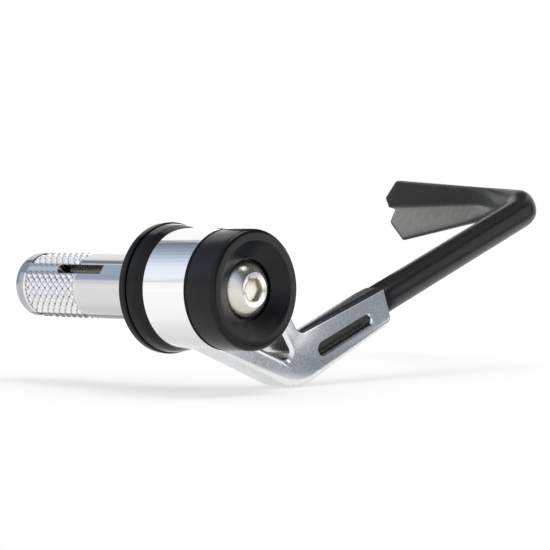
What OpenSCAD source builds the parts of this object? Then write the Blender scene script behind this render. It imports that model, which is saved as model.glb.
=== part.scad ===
// Brake lever guard for the right-hand end of a motorcycle handlebar, in millimetres.
// +X points outboard along the handlebar, +Y forward, +Z up. The origin is on the bar's axis,
// in the plane where the collar's back face meets the end of the bar.

/* [Bar end plug] */
// Radius of the plug's plain stretch, inside the handlebar
plug_r = 8.3; // [7.5:0.1:9.5]
// Length of the plug behind the collar
plug_len = 50.5; // [46:0.5:60]
// Length of the spigot that seats the plug in the collar
spigot_len = 1; // [0.5:0.1:2]
// Height of the plug's shoulder round that spigot
spigot_step = 0.6; // [0.5:0.1:1]
// Rounding of the plug's inner end
plug_round = 2.6; // [1:0.2:3]
// Outer end of the knurl, behind the collar
knurl_start = 26; // [24:0.5:30]
// Length of the knurl
knurl_len = 19.5; // [14:0.1:20]
// Number of diamonds round the knurl
knurl_count = 23; // [20:1:26]
// Number of diamonds along the knurl
knurl_rows = 8.5; // [6:0.5:10]
// Depth of the knurl's grooves
knurl_depth = 0.5; // [0.3:0.05:0.6]
// Height of the knurl's crests above the plain stretch
knurl_rise = 0.15; // [0:0.05:0.2]
// Number of flats, each with a slot, round the plug
slot_count = 4; // [3:1:4]
// Turn of the first flat, up from the rider's side
slot_turn = 34; // [0:1:60]
// Width of each slot
slot_w = 2.6; // [1.5:0.1:3]
// Width of each flat
flat_w = 3.1; // [3:0.1:3.2]
// Depth of the flats below the plug's round, more than that of the knurl
flat_depth = 0.45; // [0.4:0.05:0.8]
// Outer end of the slots, behind the collar
slot_start = 17; // [12:0.5:18]
// Length of the slots
slot_len = 17; // [12:0.5:18]
// Half angle of the wedge nut's cone
wedge_angle = 7; // [5:0.5:9]
// Length of the wedge nut
wedge_len = 10; // [8:0.5:12]
// Wall of the wedge nut at its thin end
wedge_wall = 0.6; // [0.5:0.1:1.2]

/* [Clamp bolt] */
// Radius of the bolt's shank
bolt_r = 4; // [3:0.5:5]
// Radius of the button head
head_r = 7; // [6:0.25:7.25]
// Height of the button head
head_h = 4.4; // [3.3:0.1:5]
// Width across the flats of the hexagon socket
hex_w = 5; // [4:0.5:6]
// Depth of the hexagon socket
hex_depth = 2.6; // [2:0.1:3]

/* [Collar] */
// Radius of the collar's rim
rim_r = 16.15; // [15.5:0.05:18]
// Width of the rim
rim_w = 2.1; // [1.5:0.1:3]
// Whole width of the collar
collar_w = 7.2; // [6:0.1:10]
// Bevel of the rim's edges
rim_edge = 0.3; // [0.1:0.05:0.5]
// Depth of the fine groove beside the rim
groove_depth = 0.8; // [0.4:0.1:1.2]
// Width of that groove
groove_w = 0.3; // [0.2:0.05:0.5]
// Height above the ring at which the collar's rounded shoulder breaks
shoulder_step = 0.8; // [0.4:0.1:1]
// Radius of the boss that carries the arm's ring
boss_r = 9; // [7:0.1:10]
// Distance by which the boss stops short of the end cap, so that the bolt grips the ring
boss_short = 0.5; // [0.2:0.1:1]

/* [Arm] */
// Outer radius of the ring
ring_r = 14.62; // [13.5:0.02:16]
// Width of the ring along the bar
ring_w = 14.1; // [11:0.1:16]
// Thickness of the arm below and in front of the ring
arm_t = 10.4; // [9.6:0.1:11]
// Slope of the arm's lower edge from the ring to the bend
fall_angle = 21.8; // [18:0.2:25]
// Slope of the lower edge of the arm's flat face, from the ring to the bend
face_fall_angle = 19.2; // [18:0.2:20]
// Set-back of that edge inside the ring's edge
edge_set = 0.36; // [0.2:0.02:0.6]
// Slope of the arm's lower edge past the bend
rise_angle = 24.3; // [22:0.1:27]
// Distance forward of the lower edge's corner, before it is rounded
bend_y = 25.5; // [24:0.5:30]
// Outer radius of the bend
bend_r = 14; // [10:0.5:18]
// Distance forward of the valley in the upper edge, before it is rounded
valley_y = 24.9; // [24:0.1:27]
// Height of the valley, before it is rounded
valley_z = -11.2; // [-12:0.1:-10]
// Slope of the upper edge past the valley
top_angle = 19; // [17:0.5:21]
// Slope of the edge that falls from the ring to the valley
steep_angle = 55.4; // [50:0.2:60]
// Radius of the valley
valley_r = 2.6; // [1.5:0.1:4]
// Rounding of the lower inboard edge
back_round = 2; // [1:0.1:2.6]
// Depth of the top face at the valley, behind the arm's outboard face
top_depth_valley = 1.4; // [1:0.1:6]
// Depth of the top face at the arm's end
top_depth_end = 5; // [4:0.1:9]
// Set-back of the top side for each millimetre of depth behind that
back_slope = 0.38; // [0.3:0.01:0.5]
// Rounding of the lower outboard edge
low_round = 2.4; // [1:0.1:2.6]
// Rounding of the upper outboard edge
top_round = 1; // [0.4:0.1:1.4]
// Rounding of the corner under the blade
end_round = 3; // [1:0.1:3.5]
// Rounding of the corner above the blade
corner_round = 1; // [0.4:0.1:1.4]

/* [Windows in the arm] */
// Width of the window that shows the blade's tongue
view_w = 3; // [2:0.1:3.4]
// Length of that window
view_len = 21; // [16:0.5:22]
// Distance of its outer end from the arm's end face
view_inset = 7; // [5:0.5:9]
// Drop of the window below the blade's axis
view_drop = 1; // [0:0.1:1.2]
// Wall between the ring's edge and the three-cornered window
window_wall = 1.9; // [1.5:0.1:4]
// Width of the rib in front of the three-cornered window
rib_w = 4.7; // [3.5:0.1:5]
// Width of the rib below the three-cornered window
sill_w = 5.4; // [4:0.1:6]
// Radius of the window's front corner
window_round = 1.9; // [1:0.1:2.2]
// Bevel of the three-cornered window's edges
window_bevel = 0.8; // [0.4:0.1:1]
// Bevel of the other window's edges
view_bevel = 0.4; // [0.2:0.1:0.6]

/* [Grub screws] */
// Radius of the grub screws that clamp the blade's tongue
grub_r = 2; // [1.5:0.25:2.5]
// Width across the flats of their sockets
grub_hex = 2; // [1.5:0.5:2.5]
// Distance of the first grub screw from the arm's end face
grub_first = 9; // [6:0.5:11]
// Distance between the two grub screws
grub_pitch = 9; // [7:0.5:11]

/* [Blade] */
// Radius of the rod
rod_r = 4.15; // [3.8:0.05:4.4]
// Slope of the rod
rod_angle = 20.9; // [18:0.1:23]
// Distance of the rod's axis behind the arm's outboard face
rod_depth = 5.4; // [5:0.1:5.6]
// Height of the rod's axis where it leaves the arm
rod_z = -5.1; // [-6:0.1:-4]
// Forward distance of the arm's end, on the rod's axis
arm_end_y = 57.8; // [54:0.2:62]
// Length of the rod from the arm to the elbow's middle
rod_len = 71; // [60:1:80]
// Radius of the tongue that slides in the arm
tongue_r = 3; // [2.5:0.1:3.2]
// Length of the tongue
tongue_len = 27; // [20:0.5:28]
// Bend radius of the elbow, on the rod's axis
elbow_r = 6; // [5:0.5:12]
// Angle of the paddle, forward of straight inboard
paddle_angle = 22; // [10:1:35]
// Length of the paddle from the elbow's middle
paddle_len = 84; // [70:1:100]
// Height of the paddle's fold above the rod's axis at the elbow
fold_lift = 1.8; // [0:0.2:3]
// Greatest height of the paddle above its fold
tip_up = 8.2; // [6:0.2:11]
// Greatest height of the paddle below its fold
tip_down = 10.6; // [6:0.2:12]
// Length of the slanted cut at the tip's upper corner
tip_cut_up = 13; // [5:1:20]
// Length of the slanted cut at the tip's lower corner
tip_cut_down = 20; // [5:1:26]
// Half height of the paddle's blunt end
tip_end = 3; // [2:0.2:4]
// Distance from the elbow at which the paddle starts to widen
flare_start = 15; // [12:1:25]
// Slope of the paddle's two faces, back from the fold
fold_slope = 0.58; // [0.3:0.02:0.8]
// Thickness of the paddle's wall
paddle_t = 3.2; // [2.4:0.1:4]

/* [End cap] */
// Radius of the cap
cap_r = 14.47; // [13:0.01:15.5]
// Width of the cap along the bar
cap_w = 9.5; // [8:0.1:12]
// Rounding of the cap's shoulder
cap_round = 2.2; // [1:0.1:3]
// Radius of the funnel's mouth
mouth_r = 11.8; // [10:0.1:12.2]
// Depth of the seat under the bolt's head
seat_depth = 3.9; // [3:0.1:5]

/* [Clearances] */
// Gap round the boss and round the tongue, where the pieces turn or slide
run_gap = 0.06; // [0.02:0.01:0.1]
// Gap round the bolt in the pieces that it passes through
bolt_gap = 0.3; // [0.1:0.05:0.5]
// Gap round the bolt's head in its seat
head_gap = 0.4; // [0.2:0.05:0.6]
// Gap between fixed pieces that are screwed together
seat_gap = 0.05; // [0.02:0.01:0.1]

/* [Hidden] */
$fn = 96;

// Stations along the bar's axis
ring_back = collar_w;
face_x = ring_back + ring_w;
cap_front = face_x + cap_w;
seat_x = cap_front - seat_depth;
grub_stations = [grub_first, grub_first + grub_pitch];
rod_x = face_x - rod_depth;
wedge_x = -plug_len + 1;
bolt_len = seat_x - wedge_x + 1;
bolt_hole_r = bolt_r + bolt_gap;
wedge_top_r = bolt_r + wedge_wall;
wedge_end_r = wedge_top_r + wedge_len * tan(wedge_angle);

// Lines and corners in the plane of the arm, as [forward, up]
function along(p, a, d) = [p[0] + d * cos(a), p[1] + d * sin(a)];
function meet(p, a, q, b) =
    let (d = [q[0] - p[0], q[1] - p[1]], k = cos(a) * sin(b) - sin(a) * cos(b))
    along(p, a, (d[0] * sin(b) - d[1] * cos(b)) / k);
// Points of a corner that is rounded between the edges that come from p and go to n
function rounded(p, c, n, r, steps = 12) =
    let (u = (p - c) / norm(p - c), v = (n - c) / norm(n - c),
         half = acos(u * v) / 2, reach = r / tan(half),
         mid = c + (u + v) / norm(u + v) * r / sin(half),
         s = c + u * reach - mid, e = c + v * reach - mid)
    [for (i = [0:steps]) let (k = i / steps, w = 180 - 2 * half)
        mid + (s * sin((1 - k) * w) + e * sin(k * w)) / sin(w)];

// Depth by which the arm's lower edge cuts into the ring's round, so that they cross cleanly
ring_bite = 0.02;
fall_start = along([0, 0], -fall_angle - 90, ring_r - ring_bite);
bend_point = along(fall_start, -fall_angle, (bend_y - fall_start[0]) / cos(fall_angle));
end_centre = [arm_end_y, rod_z];
end_low = meet(bend_point, rise_angle, end_centre, rod_angle + 90);
valley = [valley_y, valley_z];
end_top = meet(valley, top_angle, end_centre, rod_angle + 90);
// The steep edge runs on to the place where it lies deepest inside the ring
steep_top = along(valley, 180 - steep_angle, valley_y * cos(steep_angle) - valley_z * sin(steep_angle));
bend_steps = 20;
valley_steps = 12;
valley_arc = rounded(end_top, valley, steep_top, valley_r, valley_steps);
arm_outline = concat(
    [fall_start],
    rounded(fall_start, bend_point, end_low, bend_r, bend_steps),
    rounded(bend_point, end_low, end_top, end_round),
    rounded(end_low, end_top, valley, corner_round),
    valley_arc,
    [steep_top, [0, 0]]);

// Edge lines of the flat outboard face, and the corner where they meet at the bend
face_low = along([0, 0], -face_fall_angle - 90, ring_r - edge_set);
face_rise = along(bend_point, rise_angle + 90, low_round);
face_bend = meet(face_low, -face_fall_angle, face_rise, rise_angle);
// Edge lines of the flat inboard face
back_low = along(fall_start, 90 - fall_angle, back_round);
back_bend = meet(back_low, -fall_angle, along(bend_point, rise_angle + 90, back_round), rise_angle);

// Stands a drawing in [forward, up] on the plane at x and gives it a thickness inboard
module in_arm_plane(x, t) {
    translate([x - t, 0, 0]) rotate([90, 0, 90]) linear_extrude(t) children();
}

// Turns +Z to the bar's inboard direction, starting at x
module inboard_from(x) {
    translate([x, 0, 0]) rotate([0, -90, 0]) children();
}

// Turns +Z to the bar's outboard direction, starting at x
module outboard_from(x) {
    translate([x, 0, 0]) rotate([0, 90, 0]) children();
}

// Puts +Z on the rod's axis, pointing forward, with 0 on the arm's end face
module on_rod() {
    translate([rod_x, arm_end_y, rod_z]) rotate([rod_angle - 90, 0, 0]) children();
}

module plug_profile() {
    difference() {
        union() {
            translate([0, -spigot_len]) square([plug_r - spigot_step, spigot_len + 1]);
            square([plug_r, knurl_start]);
            square([knurl_core_r, plug_len - 1]);
            translate([0, knurl_start + knurl_len])
                square([plug_r, plug_len - plug_round - knurl_start - knurl_len]);
            translate([0, knurl_start + knurl_len])
                square([plug_r - plug_round, plug_len - knurl_start - knurl_len]);
            translate([plug_r - plug_round, plug_len - plug_round]) circle(plug_round);
        }
        translate([-plug_r, -spigot_len - 1]) square([plug_r, plug_len + spigot_len + 2]);
    }
}

// The knurl is a net of points that are crests and valleys by turns, along the plug and round it.
// Its two end rings lie at the valleys' radius, inside the plain stretches
knurl_core_r = plug_r - 1.2;
knurl_valley_r = plug_r + knurl_rise - knurl_depth;
knurl_steps = 2 * knurl_rows;
knurl_run_in = 0.3;
function knurl_ring(z, k) = [for (i = [0:2 * knurl_count - 1])
    let (a = i * 180 / knurl_count, crest = k > 0 && k < knurl_steps && (i + k) % 2 == 1,
         r = crest ? plug_r + knurl_rise : knurl_valley_r)
    [r * cos(a), r * sin(a), z]];
knurl_rings = concat(
    [knurl_ring(knurl_start - knurl_run_in, 0)],
    [for (k = [1:knurl_steps - 1]) knurl_ring(knurl_start + k * knurl_len / knurl_steps, k)],
    [knurl_ring(knurl_start + knurl_len + knurl_run_in, 0)]);

// Skins the knurl's rings so that each pair of faces meets in a groove, not in a ridge
module knurl() {
    n = 2 * knurl_count;
    last = (len(knurl_rings) - 1) * n;
    polyhedron([for (r = knurl_rings) each r], concat(
        [for (j = [0:len(knurl_rings) - 2], i = [0:n - 1])
            let (a = j * n + i, b = j * n + (i + 1) % n)
            each (i + j) % 2 == 1 ? [[a, a + n, b], [b, a + n, b + n]] : [[a, a + n, b + n], [a, b + n, b]]],
        [[for (i = [0:n - 1]) i]],
        [[for (i = [0:n - 1]) last + n - 1 - i]]));
}

module expander_plug() {
    color("silver") difference() {
        inboard_from(0) {
            rotate_extrude() plug_profile();
            knurl();
        }
        inboard_from(spigot_len + 1) cylinder(r = bolt_hole_r, h = plug_len + spigot_len + 2);
        outboard_from(wedge_x - 2) cylinder(
            r1 = wedge_end_r + seat_gap + 2 * tan(wedge_angle),
            r2 = wedge_top_r + seat_gap - 0.001, h = wedge_len + 2);
        for (i = [0:slot_count - 1]) rotate([-slot_turn - i * 360 / slot_count, 0, 0]) {
            translate([-plug_len - 1, -plug_r - 1, -flat_w / 2])
                cube([plug_len + spigot_len + 2, 1 + flat_depth, flat_w]);
            translate([-slot_start - slot_len + slot_w / 2, 0, 0]) rotate([90, 0, 0])
                cylinder(d = slot_w, h = plug_r + 1);
            translate([-slot_start - slot_len + slot_w / 2, -plug_r - 1, -slot_w / 2])
                cube([slot_len - slot_w / 2, plug_r + 1, slot_w]);
        }
    }
}

module wedge_nut() {
    color("dimgray") difference() {
        outboard_from(wedge_x) cylinder(r1 = wedge_end_r, r2 = wedge_top_r, h = wedge_len);
        outboard_from(wedge_x - 1) cylinder(r = bolt_r + seat_gap, h = wedge_len + 2);
    }
}

module collar_profile() {
    polygon([[0, 0], [rim_r - rim_edge, 0], [rim_r, rim_edge],
        [rim_r, rim_w - rim_edge], [rim_r - rim_edge, rim_w],
        [rim_r - groove_depth, rim_w], [rim_r - groove_depth, rim_w + groove_w],
        [rim_r - 2 * rim_edge, rim_w + groove_w], [rim_r - rim_edge, rim_w + groove_w + rim_edge],
        [ring_r + shoulder_step, (rim_w + collar_w) / 2 + rim_edge],
        [ring_r, collar_w], [boss_r, collar_w], [boss_r, face_x - boss_short], [0, face_x - boss_short]]);
}

module collar() {
    color("#16161a") difference() {
        outboard_from(0) rotate_extrude() collar_profile();
        outboard_from(-1) cylinder(r = bolt_hole_r, h = collar_w + ring_w + 2);
        outboard_from(-1) cylinder(r = plug_r + seat_gap, h = spigot_len + 1);
    }
}

// Stands children drawn in [forward, up, outboard] on the plane at x
module on_plane(x) {
    translate([x, 0, 0]) rotate([90, 0, 90]) children();
}

// A rounding's radius is larger by this than its place, so that it meets both faces at a clear angle
skim = 0.01;
// Reach of a rounding's waste beyond the edge
waste_w = 1.5;

// Takes a rounding of radius r off an edge. Each entry of path is a point where the rounding meets
// the face, and the direction from there into the arm
module round_edge(path, r) {
    waste = concat([[-r - waste_w, 1], [-r - waste_w, -r]],
        [for (w = [0:15:90]) [-(r + skim) * cos(w), (r + skim) * sin(w) - r]], [[0, 1]]);
    skin([for (p = path) [for (w = waste)
        let (q = along(p[0], p[1], w[0])) [q[0], q[1], w[1]]]]);
}

// Path of a lower edge that leaves start at the slope fall, bends with radius bend at corner and rises
function low_path(start, fall, corner, bend) =
    let (far = along(corner, rise_angle, 50), arc = rounded(start, corner, far, bend, bend_steps))
    concat([[start, 90 - fall]],
        [for (i = [0:bend_steps]) [arc[i], 90 - fall + (fall + rise_angle) * i / bend_steps]],
        [[far, 90 + rise_angle]]);

// Path of the upper edge, set in by r: down to the valley, round it and up the steep edge
function top_path(r) =
    let (turn = steep_angle + top_angle,
         path = concat([[along(end_top, top_angle, 5), 0]],
             [for (i = [0:valley_steps]) [valley_arc[i], turn * i / valley_steps]],
             [[steep_top, turn]]))
    [for (p = path) [along(p[0], top_angle - 90 - p[1], r), top_angle - 90 - p[1]]];

// Takes the slanted side off the arm's inboard upper edge
module cut_top_back() {
    span = norm(end_top - valley);
    translate([valley[0], valley[1], -top_depth_valley]) rotate([0, 0, top_angle])
        rotate([0, atan((top_depth_end - top_depth_valley) / span), 0])
            rotate([-atan(back_slope), 0, 0]) translate([0, 0, -20]) cube([span + 15, 20, 40]);
}

// Outline of the three-cornered window, set out by the distance o. The ring's round closes it
function window_outline(o) =
    let (sill = along(fall_start, 90 - fall_angle, sill_w - o),
         front = meet(along(valley, -90 - steep_angle, rib_w - o), -steep_angle, sill, -fall_angle),
         low = along(front, 180 - fall_angle, 24), high = along(front, 180 - steep_angle, 24))
    concat([low], rounded(low, front, high, window_round + o), [high]);

// Places a flat list of [forward, up] points at height z
function at_height(points, z) = [for (p = points) [p[0], p[1], z]];

// Bevels run on this far beyond the face
bevel_reach = 0.3;
// The bevel along the ring starts this much deeper, so that no four faces meet in one point
bevel_shift = 0.05;

// The three-cornered window with its bevel, behind the arm's outboard face
module window() {
    ring_edge = ring_r + window_wall;
    on_plane(face_x) difference() {
        skin([at_height(window_outline(0), -arm_t - 1), at_height(window_outline(0), -window_bevel),
            at_height(window_outline(window_bevel + bevel_reach), bevel_reach)]);
        rotate_extrude() polygon([[0, -arm_t - 3], [ring_edge, -arm_t - 3],
            [ring_edge, -window_bevel - bevel_shift],
            [ring_edge - window_bevel - bevel_shift - 2, 2], [0, 2]]);
    }
}

// The window that shows the tongue lies along +X from view_end, on the plane of the rod's axis
view_end = along(end_centre, rod_angle + 180, view_inset + view_w / 2);
view_span = view_len - view_w;
function view_outline(o) = [for (side = [0:1], i = [0:12])
    let (a = 90 + side * 180 + i * 15, r = view_w / 2 + o)
    [side * view_span + r * cos(a), r * sin(a)]];
module view_window() {
    on_plane(face_x - rod_depth) translate([view_end[0], view_end[1], 0])
        rotate([0, 0, rod_angle + 180]) translate([0, view_drop, 0]) {
            skin([at_height(view_outline(0), 0), at_height(view_outline(0), rod_depth - view_bevel),
                at_height(view_outline(view_bevel + bevel_reach), rod_depth + bevel_reach)]);
        }
}

module arm_body() {
    difference() {
        in_arm_plane(face_x, arm_t) polygon(arm_outline);
        on_plane(face_x) {
            round_edge(low_path(face_low, face_fall_angle, face_bend, bend_r), low_round);
            round_edge(top_path(top_round), top_round);
            cut_top_back();
        }
        on_plane(face_x - arm_t) mirror([0, 0, 1])
            round_edge(low_path(back_low, fall_angle, back_bend, bend_r - back_round), back_round);
    }
}

module arm() {
    color("#a9b1ba") difference() {
        union() {
            outboard_from(ring_back) cylinder(r = ring_r, h = ring_w);
            arm_body();
        }
        outboard_from(ring_back - 1) cylinder(r = boss_r + run_gap, h = ring_w + 2);
        on_rod() translate([0, 0, -tongue_len - 1])
            cylinder(r = tongue_r + run_gap, h = tongue_len + 2);
        view_window();
        window();
        for (d = grub_stations) grub_bore(d, grub_r + seat_gap, 10);
    }
}

// A cylinder along the bar's axis, from the arm's inboard face towards the tongue
module grub_bore(d, r, len) {
    at = along(end_centre, rod_angle + 180, d);
    outboard_from(face_x - arm_t - 1) translate([-at[1], at[0], 0]) cylinder(r = r, h = len);
}

module grub_screws() {
    color("#2a2a2e") for (d = grub_stations) {
        at = along(end_centre, rod_angle + 180, d);
        outboard_from(face_x - arm_t + 0.2) translate([-at[1], at[0], 0]) difference() {
            cylinder(r = grub_r, h = arm_t - rod_depth - tongue_r - run_gap - 0.2);
            translate([0, 0, -1]) cylinder(d = grub_hex / cos(30), h = 1 + grub_hex / 2, $fn = 6);
        }
    }
}

// Directions of the rod and of the paddle, and the corner where their axes meet
rod_dir = [0, cos(rod_angle), sin(rod_angle)];
paddle_dir = [-cos(paddle_angle), sin(paddle_angle), 0];
elbow = [rod_x, arm_end_y, rod_z] + rod_dir * rod_len;
elbow_turn = acos(rod_dir * paddle_dir);
elbow_reach = elbow_r * tan(elbow_turn / 2);

function unit(v) = v / norm(v);
function mix(a, b, t) = a * (1 - t) + b * t;
function smooth(t) = let (k = max(0, min(1, t))) k * k * (3 - 2 * k);

// One ring of points round centre c, with the axis along dir. m blends a circle to the
// folded section that reaches up above the fold and down below it, with wall t
function section(c, dir, m, up, down, t) =
    let (top = unit([0, 0, 1] - dir * dir[2]), front = cross(dir, top))
    [for (i = [0:section_points - 1])
        let (a = 90 - 360 * i / section_points, s = sin(a), k = cos(a),
             height = s > 0 ? up : down,
             p = height * sign(s) * pow(abs(s), 0.8),
             q = t / 2 * sign(k) * pow(abs(k), 0.45) - fold_slope * sqrt(p * p + 0.3) + 0.6)
        c + top * mix(rod_r * s, p, m) + front * mix(rod_r * k, q, m)];

// Reach of the paddle above and below its fold, at distance d from the elbow
function up_at(d) =
    min(mix(rod_r, tip_up, max(0, d - flare_start) / (paddle_len - tip_cut_up - flare_start)),
        mix(tip_up, tip_end, (d - paddle_len + tip_cut_up) / tip_cut_up));
function down_at(d) =
    min(mix(rod_r, tip_down, max(0, d - flare_start) / (paddle_len - tip_cut_down - flare_start)),
        mix(tip_down, tip_end, (d - paddle_len + tip_cut_down) / tip_cut_down));

elbow_steps = 10;
section_points = 40;
flare_steps = 8;
flare_end = paddle_len - tip_cut_down;
paddle_stations = concat(
    [for (i = [0:flare_steps]) mix(elbow_reach + 2, flare_end, i / flare_steps)],
    [paddle_len - tip_cut_up, paddle_len - 8, paddle_len - 1, paddle_len]);
paddle_rings = concat(
    [section([rod_x, arm_end_y, rod_z], rod_dir, 0, rod_r, rod_r, rod_r * 2)],
    [for (i = [0:elbow_steps])
        let (w = elbow_turn * i / elbow_steps, side = unit(paddle_dir - rod_dir * (rod_dir * paddle_dir)),
             c = elbow - rod_dir * elbow_reach + rod_dir * elbow_r * sin(w)
                 + side * elbow_r * (1 - cos(w)))
        section(c, rod_dir * cos(w) + side * sin(w), 0, rod_r, rod_r, rod_r * 2)],
    [for (d = paddle_stations)
        let (m = smooth((d - elbow_reach) / 24))
        section(elbow + paddle_dir * d + [0, 0, fold_lift * m], paddle_dir, m,
            up_at(d), down_at(d), d == paddle_len ? paddle_t * 0.55 : paddle_t)]);

// Skins a list of rings of equal length and closes both ends
module skin(rings) {
    n = len(rings[0]);
    last = (len(rings) - 1) * n;
    polyhedron([for (r = rings) each r], concat(
        [for (j = [0:len(rings) - 2], i = [0:n - 1])
            let (a = j * n + i, b = j * n + (i + 1) % n)
            each [[a, b + n, b], [a, a + n, b + n]]],
        [[for (i = [0:n - 1]) i]],
        [[for (i = [0:n - 1]) last + n - 1 - i]]));
}

module blade() {
    color("#1c1c1e") {
        on_rod() translate([0, 0, -tongue_len]) cylinder(r = tongue_r, h = tongue_len + 1);
        skin(paddle_rings);
    }
}

module cap_profile() {
    back = 0.8;
    difference() {
        union() {
            polygon([[0, 0], [cap_r - back, 0], [cap_r, back], [cap_r, cap_w - cap_round],
                [cap_r - cap_round, cap_w - cap_round], [cap_r - cap_round, cap_w], [0, cap_w]]);
            translate([cap_r - cap_round, cap_w - cap_round]) circle(cap_round);
        }
        translate([-20, -5]) square([20, 40]);
        translate([0, cap_w - seat_depth]) square([head_r + head_gap, 20]);
        polygon([[0, cap_w - 2.4], [head_r + head_gap, cap_w - 2.4], [mouth_r, cap_w],
            [mouth_r, cap_w + 1], [0, cap_w + 1]]);
    }
}

module end_cap() {
    color("#1a1a1e") difference() {
        outboard_from(face_x) rotate_extrude() cap_profile();
        outboard_from(face_x - 1) cylinder(r = bolt_hole_r, h = cap_w + 2);
    }
}

// Half section of the bolt, with its axis up and the head's seat at 0
module bolt_profile() {
    dome_r = (head_r * head_r + head_h * head_h) / (2 * head_h) + 0.6;
    translate([0, -bolt_len]) square([bolt_r, bolt_len + 1]);
    intersection() {
        square([head_r, head_h]);
        translate([0, head_h - dome_r]) circle(dome_r);
    }
}

module clamp_bolt() {
    color("#c9c5bb") difference() {
        outboard_from(seat_x) rotate_extrude() bolt_profile();
        outboard_from(seat_x + head_h - hex_depth) cylinder(d = hex_w / cos(30), h = 10, $fn = 6);
    }
}

expander_plug();
wedge_nut();
collar();
arm();
grub_screws();
blade();
end_cap();
clamp_bolt();
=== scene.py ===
import math

import bmesh
import bpy
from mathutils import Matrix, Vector


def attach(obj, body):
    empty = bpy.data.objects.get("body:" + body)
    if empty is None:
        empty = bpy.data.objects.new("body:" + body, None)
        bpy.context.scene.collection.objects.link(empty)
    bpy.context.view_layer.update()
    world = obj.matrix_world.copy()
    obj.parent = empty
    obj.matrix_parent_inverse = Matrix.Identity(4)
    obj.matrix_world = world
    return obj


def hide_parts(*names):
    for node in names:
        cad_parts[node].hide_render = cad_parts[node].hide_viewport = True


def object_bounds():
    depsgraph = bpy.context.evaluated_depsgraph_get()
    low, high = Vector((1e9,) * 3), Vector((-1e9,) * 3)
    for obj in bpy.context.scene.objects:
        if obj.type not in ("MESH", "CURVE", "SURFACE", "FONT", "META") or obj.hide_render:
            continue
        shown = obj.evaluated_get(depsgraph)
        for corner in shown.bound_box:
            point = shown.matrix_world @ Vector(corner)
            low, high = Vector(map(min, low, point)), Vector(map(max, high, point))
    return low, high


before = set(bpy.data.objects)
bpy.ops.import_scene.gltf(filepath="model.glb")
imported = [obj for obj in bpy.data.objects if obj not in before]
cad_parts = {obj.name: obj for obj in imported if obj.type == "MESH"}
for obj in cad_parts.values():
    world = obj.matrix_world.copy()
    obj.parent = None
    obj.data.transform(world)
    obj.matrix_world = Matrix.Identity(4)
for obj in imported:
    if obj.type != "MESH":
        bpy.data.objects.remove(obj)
cad_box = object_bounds()

MM = 0.001

# All measures are in millimetres, in the shared frame: X outboard along the handlebar, Y forward,
# Z up, origin where the bar's end meets the collar. _R is a radius, _W a width or thickness, and
# _X, _Y or _Z a place along that axis.

# Expander plug
PLUG_R = 8.3
PLUG_LEN = 50.5
PLUG_ROUND = 2.6
PLUG_FIRST_RING = 1.0
SPIGOT_LEN = 1.0
SPIGOT_STEP = 0.6
CONE_X = -39.5
CONE_R = 4.65
CONE_END_R = 6.0

# Its knurl: KNURL_COUNT diamonds round, KNURL_ROWS along, each edge cut in KNURL_FINE pieces
KNURL_START = 26.0
KNURL_LEN = 19.5
KNURL_COUNT = 23
KNURL_ROWS = 8.5
KNURL_FINE = 4
KNURL_DEPTH = 0.5
KNURL_RISE = 0.15
KNURL_FLAT = 1.25
KNURL_LEAD = 0.2
VALLEY_R = PLUG_R + KNURL_RISE - KNURL_DEPTH

# Its flats and slots
PLUG_SLOTS = 3
SLOT_TURN = 34.0
SLOT_START = 17.0
SLOT_LEN = 17.0
SLOT_W = 2.6
SLOT_INNER_R = 3.0
FLAT_W = 3.1
FLAT_DEPTH = 0.45
CUT_PAST = 1.0

# Collar
SEAT_HOLE_R = 8.35
RIM_R = 16.15
RIM_W = 2.1
RIM_ROUND = 0.55
GROOVE_DEPTH = 0.85
GROOVE_W = 0.3
SHOULDER_X = 4.95
SHOULDER_RISE = 0.84
SHOULDER_ROUND = 2.6
COLLAR_W = 7.2
BOSS_R = 9.0
BOSS_END = 20.8
RING_R = 14.62

# End cap
FACE_X = 21.3
CAP_R = 14.47
CAP_W = 9.5
CAP_ROUND = 2.2
CAP_CHAMFER = 0.8
MOUTH_R = 11.8
MOUTH_DEPTH = 2.4
SEAT_R = 7.4
SEAT_X = 26.9

# Clamp screw
BOLT_HOLE_R = 4.3
BOLT_R = 4.0
BOLT_END = -50.5
THREAD_PITCH = 1.25
THREAD_TURNS = 24
THREAD_DEPTH = 0.55
THREAD_LEAD = 0.3
HEAD_R = 7.0
HEAD_H = 4.4
HEAD_FLATTER = 0.6
SINK_R = 4.15
SINK_END_R = 3.05
HEX_W = 5.0
HEX_DEPTH = 2.6

# Arm and blade: tongue, rod, elbow, paddle
ARM_END_Y = 57.8
ARM_EDGE = 0.16
TONGUE_R = 3.0
TONGUE_LEN = 27.0
ROD_X = 15.9
ROD_Z = -5.1
ROD_R = 4.15
ROD_ANGLE = 20.9
ROD_LEN = 71.0
ROD_CHAMFER = 0.3
ELBOW_R = 6.0
ELBOW_CROWN = 5.4
PADDLE_ANGLE = 22.0
PADDLE_LEN = 84.0
PADDLE_T = 3.2
PADDLE_BLEND = 24.0
FLARE_START = 15.0
FOLD_LIFT = 1.8
FOLD_SLOPE = 0.58
FOLD_ROUND = 0.3
FOLD_SHIFT = 0.6
TIP_UP = 8.2
TIP_DOWN = 10.6
TIP_CUT_UP = 13.0
TIP_CUT_DOWN = 20.0
TIP_END = 3.0
TIP_ROUND = 1.2
TIP_THIN = 0.72
LOW_END = 77.8
LOW_END_SOFT = 0.9
PADDLE_START = 0.6
SECTION_SLIM = 0.8
SECTION_SQUARE = 0.45

# How finely the pieces are cut
TURNED_STEPS = 192
BOLT_STEPS = 96
DOME_STEPS = 14
PLUG_ROUND_STEPS = 8
SLOT_ROUND_STEPS = 12
SECTION_POINTS = 128
ROD_STEPS = 12
ELBOW_STEPS = 36
PADDLE_STEPS = 40
TIP_STEPS = 12


# ---------------------------------------------------------------- shapes
def mix(a, b, t):
    return a * (1 - t) + b * t


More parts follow.
